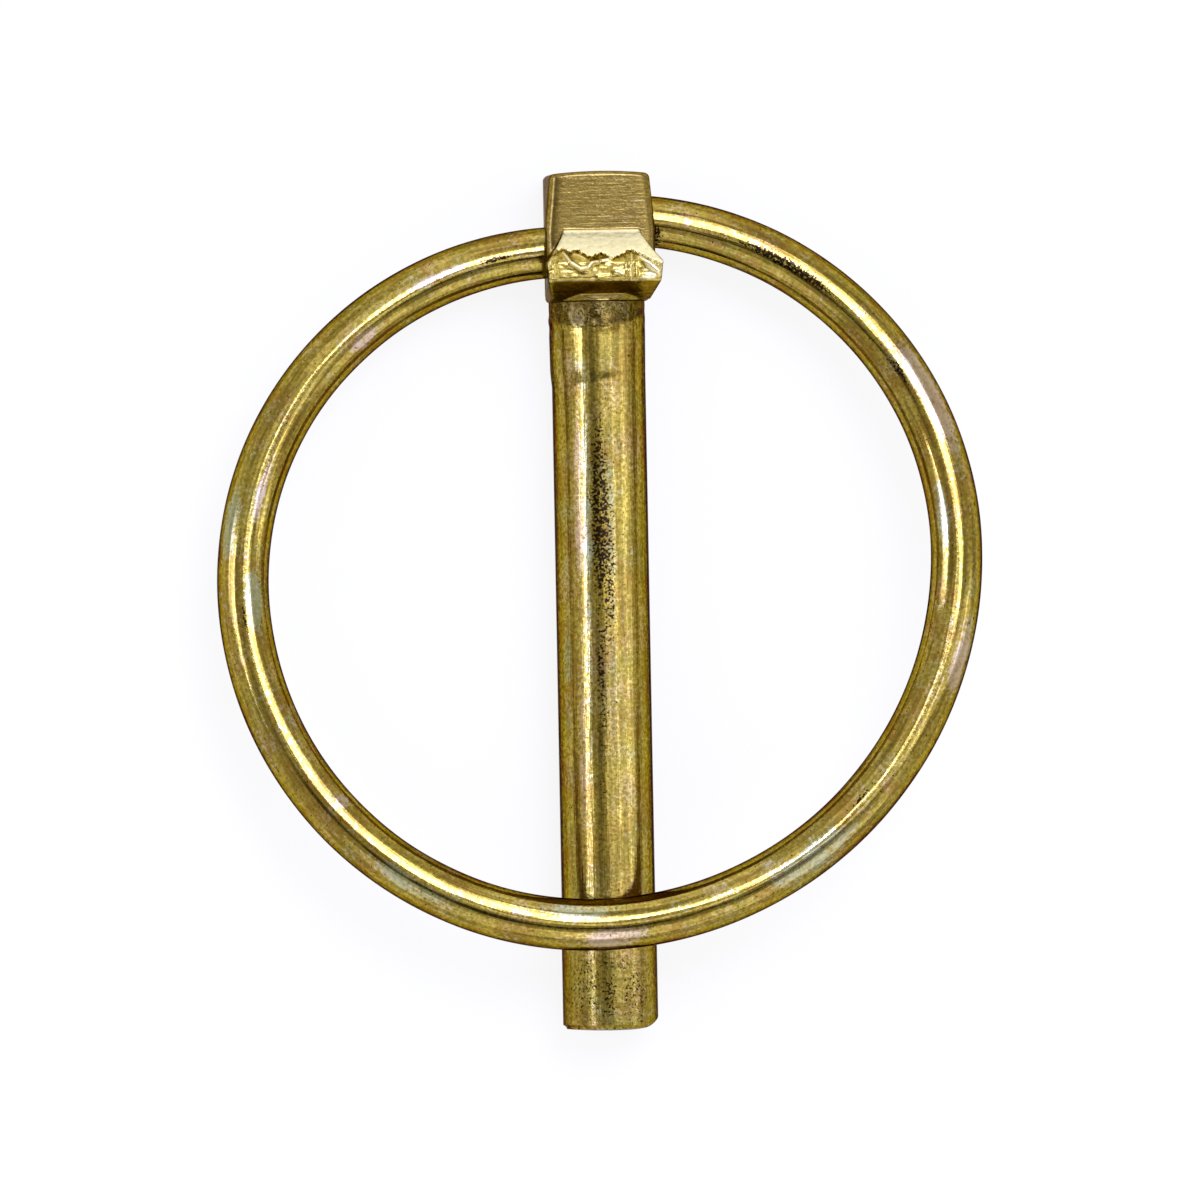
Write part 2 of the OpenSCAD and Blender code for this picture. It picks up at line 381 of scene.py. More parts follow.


# ---------------------------------------------------------------- pin


# Scars that the trimming tool left on the nose, as lines of (x, height over the head's underside):
# what each line follows, half its width, how far it stands out, and how pale its metal is, partly
# as painted highlight on its crest
RIDGES = (
    (((-2.75, 3.3), (-2.35, 2.61), (-1.7, 2.17), (-1.19, 2.23), (-0.89, 2.59), (-0.52, 2.63)),
     0.13, 0.17, 0.9),
    (((-2.1, 3.2), (-1.75, 3.1), (-1.35, 2.85)), 0.13, 0.10, 0.6),
    (((-0.2, 2.72), (0.45, 2.85)), 0.12, 0.15, 0.9),
    (((1.53, 3.2), (1.43, 1.5)), 0.06, 0.10, 0.5),
    (((1.82, 3.2), (1.74, 1.5)), 0.07, 0.12, 0.9),
    (((2.12, 3.2), (2.20, 1.5)), 0.05, 0.10, 0.5),
    (((2.44, 2.95), (2.98, 2.45), (3.6, 1.95)), 0.20, 0.14, 1.0),
    (((2.52, 1.55), (2.9, 1.42), (3.3, 1.5)), 0.16, 0.12, 0.9),
    (((-3.54, 3.01), (-3.80, 2.42), (-3.84, 1.98), (-3.67, 1.54)), 0.07, 0.12, 0.9),
    (((-3.22, 3.0), (-3.48, 2.41), (-3.46, 1.54)), 0.07, 0.11, 0.6),
    (((0.7, 1.95), (1.15, 1.75)), 0.2, 0.08, 0.6),
    (((-0.5, 1.55), (0.2, 1.6)), 0.12, 0.06, 0.3),
)
# Ragged lower edge of the sheared slope, as x and height over the head's underside
SHEAR = np.array((
    (-3.9, 3.2), (-3.16, 3.45), (-2.74, 3.56), (-2.33, 3.28), (-1.87, 3.5), (-1.33, 3.15),
    (-1.06, 2.96), (-0.61, 3.08), (-0.15, 3.25), (0.26, 3.02), (0.53, 2.86), (1.15, 3.08),
    (1.78, 3.44), (2.33, 3.21), (2.61, 3.05), (3.15, 2.74), (3.9, 2.4),
))
# How deep the slope lies under the nose's plain form, how much deeper the torn metal lies, and
# how rough and how deeply cleft that is
SLOPE_IN = 0.02
TORN_IN = 0.15
TORN_ROUGH = 0.013
CREVICE = 0.09

# Marks on the pin, as strength, x, y, and half the width and height of each: pink and green
# stains in the plating, then dark marks, most of them painted shade and painted dark reflection
PIN_PINK = (
    (0.9, -1.8, 8.0, 0.3, 7.0),
    (0.8, -1.8, -9.0, 0.3, 6.0),
    (0.7, -2.3, 15.5, 0.3, 2.5),
    (0.6, -1.9, -24.7, 0.3, 0.4),
    (0.6, 0.8, 27.2, 2.2, 1.4),
)
PIN_GREEN = (
    (0.7, -1.25, 4.0, 0.35, 16.0),
    (0.55, 0.35, 3.0, 0.3, 9.0),
    (0.5, -2.6, -3.0, 0.3, 9.0),
)
# Dark marks: scale and painted shade on the neck under the head, a painted shadow below the
# ring, a painted dark reflection down the stem's pitted stretch, and dark patches on the tip
PIN_SHADE_AND_PITS = (
    (0.75, -0.5, SEAT_Y - 0.65, 0.75, 0.75),
    (0.5, 1.5, SEAT_Y - 0.5, 1.2, 0.5),
    # Painted shadow below the ring
    (0.45, 0.2, REST_Y - 2.4, 2.6, 0.35),
    # Painted dark reflection down the stem, broken into pits
    (0.85, -0.42, 6.6, 0.66, 6.9),
    (0.62, 0.1, 3.4, 0.5, 6.0),
    (0.7, -0.5, -3.8, 0.3, 2.6),
    (0.35, -0.4, -1.0, 0.5, 14.0),
    (0.55, -0.35, TIP_Y + 2.4, 0.6, 2.0),
    (0.40, -1.9, TIP_Y + 2.8, 1.0, 2.6),
    (0.39, 1.5, TIP_Y + 2.6, 1.1, 2.2),
)


def soft_min(width, *values):
    """The smallest value, with the corner between two of them rounded over about width:
    least - width * log(sum of e^-((value - least) / width))."""
    least = np.minimum.reduce(values)
    return least - width * np.log(sum(np.exp(-(v - least) / width) for v in values))


def joined(power, *values):
    """The smallest value, with corners rounded by a power mean: higher powers give sharper corners."""
    return sum((1 / v) ** power for v in values) ** (-1 / power)


def ragged_edge(x):
    """Height of the sheared slope's ragged lower edge: a line through the points above, softened
    by averaging it over 0.12 mm to each side, with a finer ripple of two sines on it."""
    offsets = (-0.12, -0.06, 0, 0.06, 0.12)
    shares = (0.12, 0.24, 0.28, 0.24, 0.12)
    line = sum(share * np.interp(x + offset, *SHEAR.T) for offset, share in zip(offsets, shares))
    return line + 0.035 * np.sin(17 * x) + 0.025 * np.sin(29 * x + 1)


def distance_to(x, h, line):
    """Distance from points to the nearest stretch of a line through given corners."""
    best = np.full(np.shape(x), 99.0)
    for (x0, h0), (x1, h1) in zip(line[:-1], line[1:]):
        along = np.array([x1 - x0, h1 - h0])
        t = np.clip(((x - x0) * along[0] + (h - h0) * along[1]) / (along @ along), 0, 1)
        best = np.minimum(best, np.hypot(x - x0 - t * along[0], h - h0 - t * along[1]))
    return best


def scars(x, h):
    """At (x, height over the head's underside) on the nose: how far the trimmed metal stands out of
    its smooth form, how pale it is, partly as painted highlight, and how dark its hollows are
    painted as shade. Above the ragged edge it is the smooth sheared slope, pale, partly as painted
    highlight. Below, it lies lower, with a crevice of depth e^-(distance / width)^2 along the edge,
    ridges of the same bell shape, and torn ground of plane waves that are pale where they stand
    high, as painted highlight, and dark where they lie low, as painted shade."""
    under_edge = ragged_edge(x) - h
    below = rise(under_edge, -0.02, 0.07)
    crevice = np.exp(-(((under_edge - 0.1) / 0.07) ** 2))
    # The ground's waves are longer across the nose than up it, and slant a little
    ground = np.stack([0.6 * x + 0.3 * h, 1.3 * h, 0 * x], axis=-1)
    ground = waves(ground, size=0.34, count=40, seed=3)
    out = -SLOPE_IN - below * (TORN_IN + TORN_ROUGH * ground) - CREVICE * crevice
    # Pale on the slope and on the ground's crests, partly as painted highlight
    pale = np.maximum(1 - below, 0.15 + 0.45 * np.clip(ground, 0, 1))
    # The nose's right cheek is paler
    pale = np.maximum(pale, 0.7 * rise(x, 2.3, 2.9) * rise(h, 1.4, 1.7))
    for line, half_width, height, paleness in RIDGES:
        bell = np.exp(-((distance_to(x, h, line) / half_width) ** 2))
        out = out + bell * height * below
        pale = np.maximum(pale, bell * paleness)
    # A painted highlight along the lip's edge, and dull metal under it
    pale = np.maximum(pale, 0.8 * np.exp(-(((h - 1.36) / 0.09) ** 2)))
    # Painted shade in the torn ground's hollows
    hollow_shade = below * np.clip(-1.6 * ground - 0.25, 0, 1) * (1 - np.clip(2 * pale, 0, 1))
    return out, np.maximum(pale * rise(h, 1.15, 1.35), 0.22 * (h < 1.3)), hollow_shade


def slope_half(y):
    """Half width of the nose's slope, which widens faster and faster towards the brow."""
    share = np.clip((ROOT_Y - y) / (ROOT_Y - BROW_Y), 0, 2)
    return SLOPE_HALF + (NOSE_HALF - SLOPE_HALF) * share**1.35 - (y > ROOT_Y) * (y - ROOT_Y)


def stem_reach(y):
    """The stem's radius at height y: it swells smoothly below the ring's resting place."""
    return STEM_R + (END_R - STEM_R) * rise(-y, -REST_Y - SWELL_L / 2, -REST_Y + SWELL_L / 2)


def neck_reach(x, z, y):
    """The neck's radius at height y: it narrows from the head down, fades into the stem, sits a
    little to one side, and its front is scaly just under the head."""
    reach = NECK_R - SKIN_IN + (NECK_LOW_R - NECK_R) * (SEAT_Y - y) / NECK_L
    reach = reach - NECK_DROP * rise(-y, NECK_L - 0.8 - SEAT_Y, NECK_L + NECK_FADE - SEAT_Y)
    reach = np.where(y > SEAT_Y - NECK_L - NECK_FADE, reach - NECK_SHIFT * x, 0)
    # The direction (x, z) has unit length, and 4 times it runs just outside the neck's surface
    scale = 1 + waves(np.stack([4 * x, y, 4 * z], axis=-1), size=0.9, count=24, seed=8)
    return reach - SCALE_DEPTH * scale * rise(y, SEAT_Y - 2.4, SEAT_Y - 1.2) * rise(z, -0.8, 0)


def head_reach(x, z, y):
    """The head's reach at height y: the farther one of its block and its nose.
    Each face of a convex body stops a ray at face distance / slant, and the body ends at the
    nearest face. The nose's front runs down the slope to the brow, down the lip, and back under
    it, and the scars are added to that front."""
    ahead, behind, across = np.maximum(z, TINY), np.maximum(-z, TINY), np.abs(x)
    # Sides: they flare towards the front, widen from the top down to the nose, and draw in again
    # at the lip and at the foot
    taper = (NOSE_HALF - TOP_HALF) / (TOP_Y - BROW_Y)
    drawn_in = (BROW_Y - y) * LIP_IN / (BROW_Y - LIP_Y)
    foot = NOSE_HALF - LIP_IN - (LIP_Y - y) * FOOT_DRAFT
    half = np.minimum.reduce([NOSE_HALF - (y - BROW_Y) * taper, NOSE_HALF - drawn_in, foot])
    flared = BACK_HALF - BACK_Z * FLARE
    side = np.minimum(half / np.maximum(across, TINY), flared / np.maximum(across - FLARE * z, TINY))
    # Block: rounder corners at its front than at its back, and a chamfer round its lower edge,
    # which stops nothing above the foot
    front_part = joined(FRONT_CORNER, side, BLOCK_Z / ahead)
    block = np.where(z > 0, front_part, joined(BACK_CORNER, side, -BACK_Z / behind))
    chamfer = NECK_R + LEDGE + CHAMFER_RISE * (y - SEAT_Y)
    block = np.where(y > FOOT_Y, block, np.minimum(block, chamfer))
    slope = (NOSE_Z - BLOCK_Z) / (ROOT_Y - BROW_Y)
    under = (NOSE_Z - LIP_CHAMFER - BLOCK_Z) / (LIP_Y - UNDER_Y)
    front = soft_min(0.03, BLOCK_Z + slope * (ROOT_Y - y), np.full_like(y, NOSE_Z),
                     NOSE_Z - LIP_CHAMFER + (y - LIP_Y), BLOCK_Z + under * (y - UNDER_Y))
    out, _, _ = scars(front * x / ahead, y - SEAT_Y)
    out = out * rise(y, UNDER_Y + 0.2, LIP_Y + 0.1) * rise(front, BLOCK_Z, BLOCK_Z + 0.3)
    cheek = np.minimum(side, np.maximum(slope_half(y), TINY) / np.maximum(across, TINY))
    nose = joined(NOSE_CORNER, cheek, np.maximum(front + out, TINY) / ahead)
    nose = np.where((z > 0) & (y < ROOT_Y + 0.3) & (front > BLOCK_Z - 1), nose, 0)
    return np.where(y > SEAT_Y, np.maximum(block, nose), 0)


def wall(x, z, y):
    """How far the pin reaches from its axis at height y, in the directions (x, z) of unit length:
    the farthest reach of its stem, neck and head."""
    below_head = y < SEAT_Y + 0.5
    reaches = [below_head * stem_reach(y), below_head * neck_reach(x, z, y), head_reach(x, z, y)]
    return np.maximum.reduce(reaches)


def cropped_end(x, z):
    """Height of the end that the cropping blade left: a shallow crown, broken away towards one side."""
    crown = TIP_Y + (x**2 + z**2) / (2 * CROWN_R)
    across = np.clip(x - (END_R - BREAK_W), 0, BREAK_R - 0.02)
    broken = TIP_Y + BREAK_R - np.sqrt(BREAK_R**2 - across**2)
    return -soft_min(0.05, -crown, -broken)


def end_chamfer(x):
    """Size of the chamfer round the cropped end, which dies out where the end is broken away."""
    return TIP_CHAMFER * (1 - 0.8 * rise(x, END_R - BREAK_W, END_R - 0.8))


def head_top(x):
    """Height of the head's top: a slight arch, x^2 / 2r lower at x."""
    return TOP_Y - x**2 / (2 * ARCH_R)


def pin_skin():
    """Rows of points up the pin: the cropped end from its middle out, its chamfer, the wall, the
    head's rounded rim, and its top. Round each row the points crowd towards the nose."""
    t = 2 * math.pi * np.arange(PIN_SIDES) / PIN_SIDES
    angle = -math.pi / 2 - (t + 0.35 * np.sin(t))
    x, z = np.cos(angle), np.sin(angle)
    rows = []

    def row(r, y):
        rows.append(np.stack(np.broadcast_arrays(r * x, y, r * z), axis=-1))

    # The cropped end, with closer rows towards its edge, and the chamfer
    chamfer = end_chamfer(END_R * x)
    for share in steps((0.06, 0.86, 0.08), (0.86, 1, 0.028)):
        r = (END_R - chamfer) * share
        row(r, cropped_end(r * x, r * z))
    rim = np.maximum(cropped_end(END_R * x, END_R * z), TIP_Y) + chamfer
    for share in steps((0, 1, 0.25))[1:]:
        left = chamfer * (1 - share)
        row(END_R - left, rim - left * 0.7)
    # The stem and, in closer rows, the neck
    for y in steps((TIP_Y + 1.6, -17, 0.75), (-17, SEAT_Y - 6.5, 1.0), (SEAT_Y - 6.5, SEAT_Y, 0.17)):
        height = np.full(PIN_SIDES, y) if y > TIP_Y + 3 else np.maximum(y, rim + 0.02)
        row(wall(x, z, height), height)
    # The head: its wall, its rounded rim, and its top from the rim in
    foot, shoulder = SEAT_Y + 0.01, head_top(x * MEAN_HALF) - RIM_R
    for share in steps((0, 1, 1 / 115))[1:]:
        height = foot + (shoulder - foot) * share
        row(wall(x, z, height), height)
    outline = wall(x, z, shoulder)
    for bend in steps((0, math.pi / 2, math.pi / 12))[1:]:
        r = outline * (1 - RIM_R * (1 - math.cos(bend)) / MEAN_HALF)
        row(r, head_top(r * x) - RIM_R * (1 - math.sin(bend)))
    top = r
    for share in steps((0, 0.94, 0.09))[1:]:
        r = top * (1 - share)
        row(r, head_top(r * x))
    return np.stack(rows)


def hole_cutter(lay, side):
    """What was drilled out on one side: a bore round the wire's end, countersunk from where the
    wire's bend begins. A profile of (distance along the hinge line, radius) is carried once round
    that line."""
    part = lay["sides"][side]
    bend_t = part["end"][0] / math.cos(lay["tilt"])
    mouth_t = lay["mouth_x"] / math.cos(lay["tilt"]) + 2 * WIRE_R
    bore_r = WIRE_R + HINGE_GAP
    mouth_r = bore_r + (mouth_t - bend_t) * math.tan(abs(part["turn"]) + SINK_SPARE)
    profile = np.array([[bend_t - END_L - END_GAP, bore_r], [bend_t, bore_r], [mouth_t, mouth_r]])
    out = side * np.array([*heading(lay["tilt"]), 0])
    up = np.array([0, 0, 1.0])
    beside = np.cross(up, out)
    angle = np.linspace(0, 2 * math.pi, 96, endpoint=False)[:, None]
    middle = np.array([0, HINGE_Y, HINGE_Z])
    circle = np.cos(angle) * beside + np.sin(angle) * up
    grid = middle + profile[:, None, :1] * out + profile[:, None, 1:] * circle
    return closed_mesh("hole", grid, middle + profile[0, 0] * out, middle + profile[-1, 0] * out)


def spots(x, y, table):
    """The strongest of a table's stains at each point."""
    return np.maximum.reduce([strength * spot(x, y, *place) for strength, *place in table])


def pin_looks(x, y, z, facing):
    """What the plating is like at points of the pin that face forwards by so much: how pale the metal
    is, partly as painted highlight; how dull, which also darkens the neck and the head's sides as
    painted shade; how filed; how pink and how green its stains are; and how dark it is, as painted
    shade, painted dark reflection and pits."""
    h = y - SEAT_Y
    _, pale, hollow_shade = scars(x, h)
    under_edge = ragged_edge(x) - h
    slope = rise(slope_half(y) - np.abs(x), -0.02, 0.05)
    on_nose = rise(z, BLOCK_Z + 0.02, BLOCK_Z + 0.12) * rise(facing, 0.2, 0.5) * slope
    off_nose = 1 - rise(z, BLOCK_Z + 0.02, BLOCK_Z + 0.2)
    on_head = rise(h, 0, 0.1) * off_nose
    torn = on_nose * rise(under_edge, 0, 0.1) * rise(h, 1.3, 1.5)
    crevice = on_nose * np.exp(-(((under_edge - 0.1) / 0.06) ** 2))
    # The neck's scaly skin ends in a curved line
    scale_end = -1.62 + 0.07 * x + 0.05 * x**2
    neck = rise(h, scale_end - 0.05, scale_end + 0.05) * (h < 0.1)
    tip = 1 - rise(y, TIP_Y + 4.5, REST_Y + 1)
    # The head's sides, seen slanting, get more dark scale: painted shade
    head = on_head * (0.35 + 0.35 * (1 - rise(facing, 0.2, 0.5)))
    matt_and_shade = np.maximum.reduce([neck, head, 0.2 * tip, 0.15 * torn])
    filed = on_head * rise(facing, 0.6, 0.9)
    # Painted shade along the end's lower edge
    edge = 1 - rise(y, TIP_Y + 0.12, TIP_Y + 0.3)
    # Darkness: painted shade under the head, in the crevice, in the hollows and at the end's edge,
    # besides the dark marks
    dark = np.maximum.reduce([spots(x, y, PIN_SHADE_AND_PITS), 0.8 * crevice, 0.85 * hollow_shade * torn,
                              0.7 * edge, 0.4 * neck * (h < 0.05)])
    stains_and_shade = np.stack([spots(x, y, PIN_PINK), spots(x, y, PIN_GREEN), dark], axis=-1)
    front = rise(facing, -0.1, 0.2)[:, None]
    return np.stack([pale * on_nose, matt_and_shade, filed], axis=-1), stains_and_shade * front


def forged_pin(lay):
    """The pin's skin with the two blind holes cut into it, and its looks stored on its points."""
    pin = closed_mesh("forging", pin_skin(), [0, TIP_Y, 0], [0, TOP_Y, 0])
    for side in (1, -1):
        cutter = hole_cutter(lay, side)
        cut = pin.modifiers.new("hole", "BOOLEAN")
        cut.object, cut.solver = cutter, "EXACT"
        seen = pin.evaluated_get(bpy.context.evaluated_depsgraph_get())
        drilled = bpy.data.meshes.new_from_object(seen)
        pin.modifiers.clear()
        pin.data = drilled
        bpy.data.objects.remove(cutter)
    drilled.set_sharp_from_angle(angle=math.radians(50))
    points, normals = np.empty((2, len(drilled.vertices) * 3))
    drilled.vertices.foreach_get("co", points)
    drilled.vertices.foreach_get("normal", normals)
    finish_and_painted_light, stains_and_shade = pin_looks(*points.reshape(-1, 3).T / MM, normals[2::3])
    store(pin, "finish_and_painted_light", finish_and_painted_light)
    store(pin, "stain_and_shade", stains_and_shade)
    return pin


# ---------------------------------------------------------------- studio


def camera():
    """A long lens 1 m off. It stands 6 degrees to the left of square on and is rolled by about 1
    degree, and its frame is 80.64 mm wide where the pin lies."""
    turn, roll = math.radians(6), math.radians(1.079)
    aim = Vector((-0.19, 0.85, 0)) * MM
    distance, frame_w = 1000 * MM, 80.64 * MM
    right = Vector((math.cos(turn), 0, math.sin(turn)))
    up = Vector((0, 1, 0))
    back = right.cross(up)
    x = right * math.cos(roll) - up * math.sin(roll)
    y = right * math.sin(roll) + up * math.cos(roll)
    data = bpy.data.cameras.new("camera")
    data.angle = 2 * math.atan(frame_w / 2 / distance)
    made = link_object("camera", data)
    axes = Matrix((x, y, back)).transposed().to_4x4()
    made.matrix_world = Matrix.Translation(aim + back * distance) @ axes
    bpy.context.scene.camera = made


def floor():
    """Pale paper that the head's back lies on. The eye, gloss and glass see it as white, with a
    seventh of the paper's own light kept, so that the pin's soft shadow still shows."""
    r, z = 2.0, BACK_Z * MM
    mesh = bpy.data.meshes.new("floor")
    mesh.from_pydata([(-r, -r, z), (r, -r, z), (r, r, z), (-r, r, z)], [], [(0, 1, 2, 3)])
    mat = bpy.data.materials.new("white_paper")
    tree = empty_tree(mat)
    paper = add(tree, "ShaderNodeBsdfDiffuse", {"Color": linear("#E7E4D7")})
    white = add(tree, "ShaderNodeEmission", {"Strength": 1.0})
    ray = add(tree, "ShaderNodeLightPath").outputs
    seen = {0: ray["Is Camera Ray"], 1: ray["Is Glossy Ray"]}
    seen = add(tree, "ShaderNodeMath", seen, operation="MAXIMUM")
    seen = {0: seen.outputs[0], 1: ray["Is Transmission Ray"]}
    seen = add(tree, "ShaderNodeMath", seen, operation="MAXIMUM")
    part = add(tree, "ShaderNodeMath", {0: seen.outputs[0], 1: 0.86}, operation="MULTIPLY")
    mix = add(tree, "ShaderNodeMixShader", {0: part.outputs[0], 1: paper.outputs[0], 2: white.outputs[0]})
    add(tree, "ShaderNodeOutputMaterial", {"Surface": mix.outputs[0]})
    mesh.materials.append(mat)
    link_object("floor", mesh)


def world():
    """The room: pale grey, a little brighter low down, with a dark arc round the camera. Such an
    arc is what polished metal shows of the camera's stand and of the person behind it.
    The arc is the part of a ring about the direction of the lens that lies below it."""
    made = bpy.data.worlds.new("room")
    bpy.context.scene.world = made
    tree = empty_tree(made)
    towards = add(tree, "ShaderNodeTexCoord").outputs["Generated"]
    # How far a direction lies from the ring of radius 0.33 about the lens, both seen from above
    flat = add(tree, "ShaderNodeVectorMath", {0: towards, 1: (1, 1, 0)}, operation="MULTIPLY")
    from_lens = {0: flat.outputs[0], 1: (-0.03, 0.03, 0)}
    from_lens = add(tree, "ShaderNodeVectorMath", from_lens, operation="DISTANCE").outputs["Value"]
    off_ring = add(tree, "ShaderNodeMath", {0: from_lens, 1: 0.33}, operation="SUBTRACT")
    off_ring = add(tree, "ShaderNodeMath", {0: off_ring.outputs[0]}, operation="ABSOLUTE")
    ring_dark = {0: off_ring.outputs[0], 1: 0.05, 2: 0.14, 3: 0.92, 4: 0}
    ring_dark = add(tree, "ShaderNodeMapRange", ring_dark)
    # The half of it that lies below
    below = {0: towards, 1: (-0.2, -0.98, 0)}
    below = add(tree, "ShaderNodeVectorMath", below, operation="DOT_PRODUCT")
    below = add(tree, "ShaderNodeMapRange", {0: below.outputs["Value"], 1: -0.12, 2: 0.22, 3: 0, 4: 1})
    dark = {0: ring_dark.outputs[0], 1: below.outputs[0]}
    dark = add(tree, "ShaderNodeMath", dark, operation="MULTIPLY")
    bright = add(tree, "ShaderNodeMath", {0: 1.0, 1: dark.outputs[0]}, operation="SUBTRACT")
    height = add(tree, "ShaderNodeSeparateXYZ", {0: towards}).outputs["Z"]
    grey = add(tree, "ShaderNodeMapRange", {0: height, 1: 0, 2: 1, 3: 0.85, 4: 0.6})
    walls = {"Color": grey.outputs[0], "Strength": bright.outputs[0]}
    walls = add(tree, "ShaderNodeBackground", walls)
    add(tree, "ShaderNodeOutputWorld", {"Surface": walls.outputs["Background"]})


# Lamp colours, as a window's daylight and a lit white umbrella's. Both are bluer than white, as
# daylight is to a camera set for warm lamps, which lets yellow plating shine almost white.
COOL = (0.95, 1.06, 2.3)
SOFT = (1.0, 1.08, 1.8)

# Lamps: name, degrees of lean from straight up, the bearing that it leans to (0 is x, 90 is y),
# metres away, size round the pin and outwards, how bright its face is, and colour
LAMPS = (
    # A window and its frame: the bright band down the left of stem and wire, and its sharp edge
    ("left", 50, 171, 0.6, (0.22, 0.18), 1.75, COOL),
    ("left_edge", 48, 172, 0.58, (0.22, 0.022), 10.0, COOL),
    ("left_far", 62, 168, 0.6, (0.16, 0.22), 2.4, COOL),
    # An umbrella with its lamp's white core: the wire's bright line, and the sheared slope
    ("key", 31, 61, 1.2, (0.66, 0.64), 2.9, SOFT),
    ("core", 23.5, 64, 1.2, (0.46, 0.42), 5.4, COOL),
    ("glare", 16.5, 90, 1.15, (0.15, 0.15), 5.0, COOL),
    # Soft light from the right, with the two narrow gaps that show as lines on the stem
    ("beside", 13, 0, 0.6, (0.08, 0.34), 1.2, SOFT),
    ("right", 47, 0, 0.6, (0.12, 0.52), 0.95, SOFT),
    ("strip", 55, 0, 0.55, (0.08, 0.03), 3.2, SOFT),
    ("line", 27, 0, 0.58, (0.06, 0.012), 4.0, SOFT),
    # Fill light from above and below
    ("upper_left", 38, 115, 0.6, (0.25, 0.35), 0.65, SOFT),
    ("top", 72, 90, 0.5, (0.36, 0.30), 0.7, SOFT),
    ("lower", 50, 300, 0.6, (0.60, 0.36), 0.8, SOFT),
    ("lower_left", 55, 250, 0.6, (0.50, 0.36), 0.6, SOFT),
)


def softbox(name, lean, bearing, distance, size, brightness, colour):
    """A lamp with an even rectangular face turned to the pin, unseen by the camera."""
    lean, bearing = math.radians(lean), math.radians(bearing)
    level = math.sin(lean)
    towards = Vector((level * math.cos(bearing), level * math.sin(bearing), math.cos(lean)))
    data = bpy.data.lights.new(name, "AREA")
    data.shape = "RECTANGLE"
    data.size, data.size_y = size
    data.energy = brightness * math.pi * size[0] * size[1]
    data.color = colour
    lamp = link_object(name, data)
    lamp.location = towards * distance
    lamp.rotation_euler = towards.to_track_quat("Z", "Y").to_euler()
    lamp.visible_camera = False


# ---------------------------------------------------------------- plating

# Yellow zinc: steel plated with zinc in a barrel, then dipped in chromate and dried. The film is
# clear and as thin as light's wavelengths, so it turns the zinc's silver to brass, and where it
# is thicker or thinner to olive, amber, pink or green. Barrel plating gives a satin gloss that
# still shows how the steel under it was drawn, forged, filed or sheared.

# Pattern sizes in millimetres. Crystals of zinc are about 0.01 mm, drawing lines about 0.05 mm
# and pits about 0.08 mm, which are too fine to show, so they are drawn this coarse.
CRYSTAL = 0.24
LINE = 0.3
PIT = 0.16
# A second-cut file's marks, and the scale that a forging die leaves, are drawn about true
FILE_MARK = 0.15
SCALE = 0.4
# Height of the bump that the patterns share
RELIEF = 0.022

# What differs between the two steels: how the lines run, as the pattern's stretch along each
# axis; the size of clouds in the film; how far the crystals differ; how strongly lines and amber
# clouds show; pink; roughness from the smooth to the dull clouds; height of crystals and lines.
# A die leaves steel coarser than drawing does, so the forging is duller and its grain stronger.
FORGING = dict(lines=(1, 0.05, 1), cloud=2.6, crystals=0.32, lined=0.5, amber=0.4, pink="#CCA97C",
               rough=(0.12, 0.18), crystal_height=0.3, line_height=0.9)
WIRE = dict(lines=(1, 1, 0.05), cloud=2.0, crystals=0.28, lined=0.66, amber=0.5, pink="#CDB4A4",
            rough=(0.09, 0.14), crystal_height=0.2, line_height=0.6)

# Zinc's reflection fades to this at grazing angles, under the film and under scale
RIM = "#564F31"
SCALY_RIM = "#AA9059"


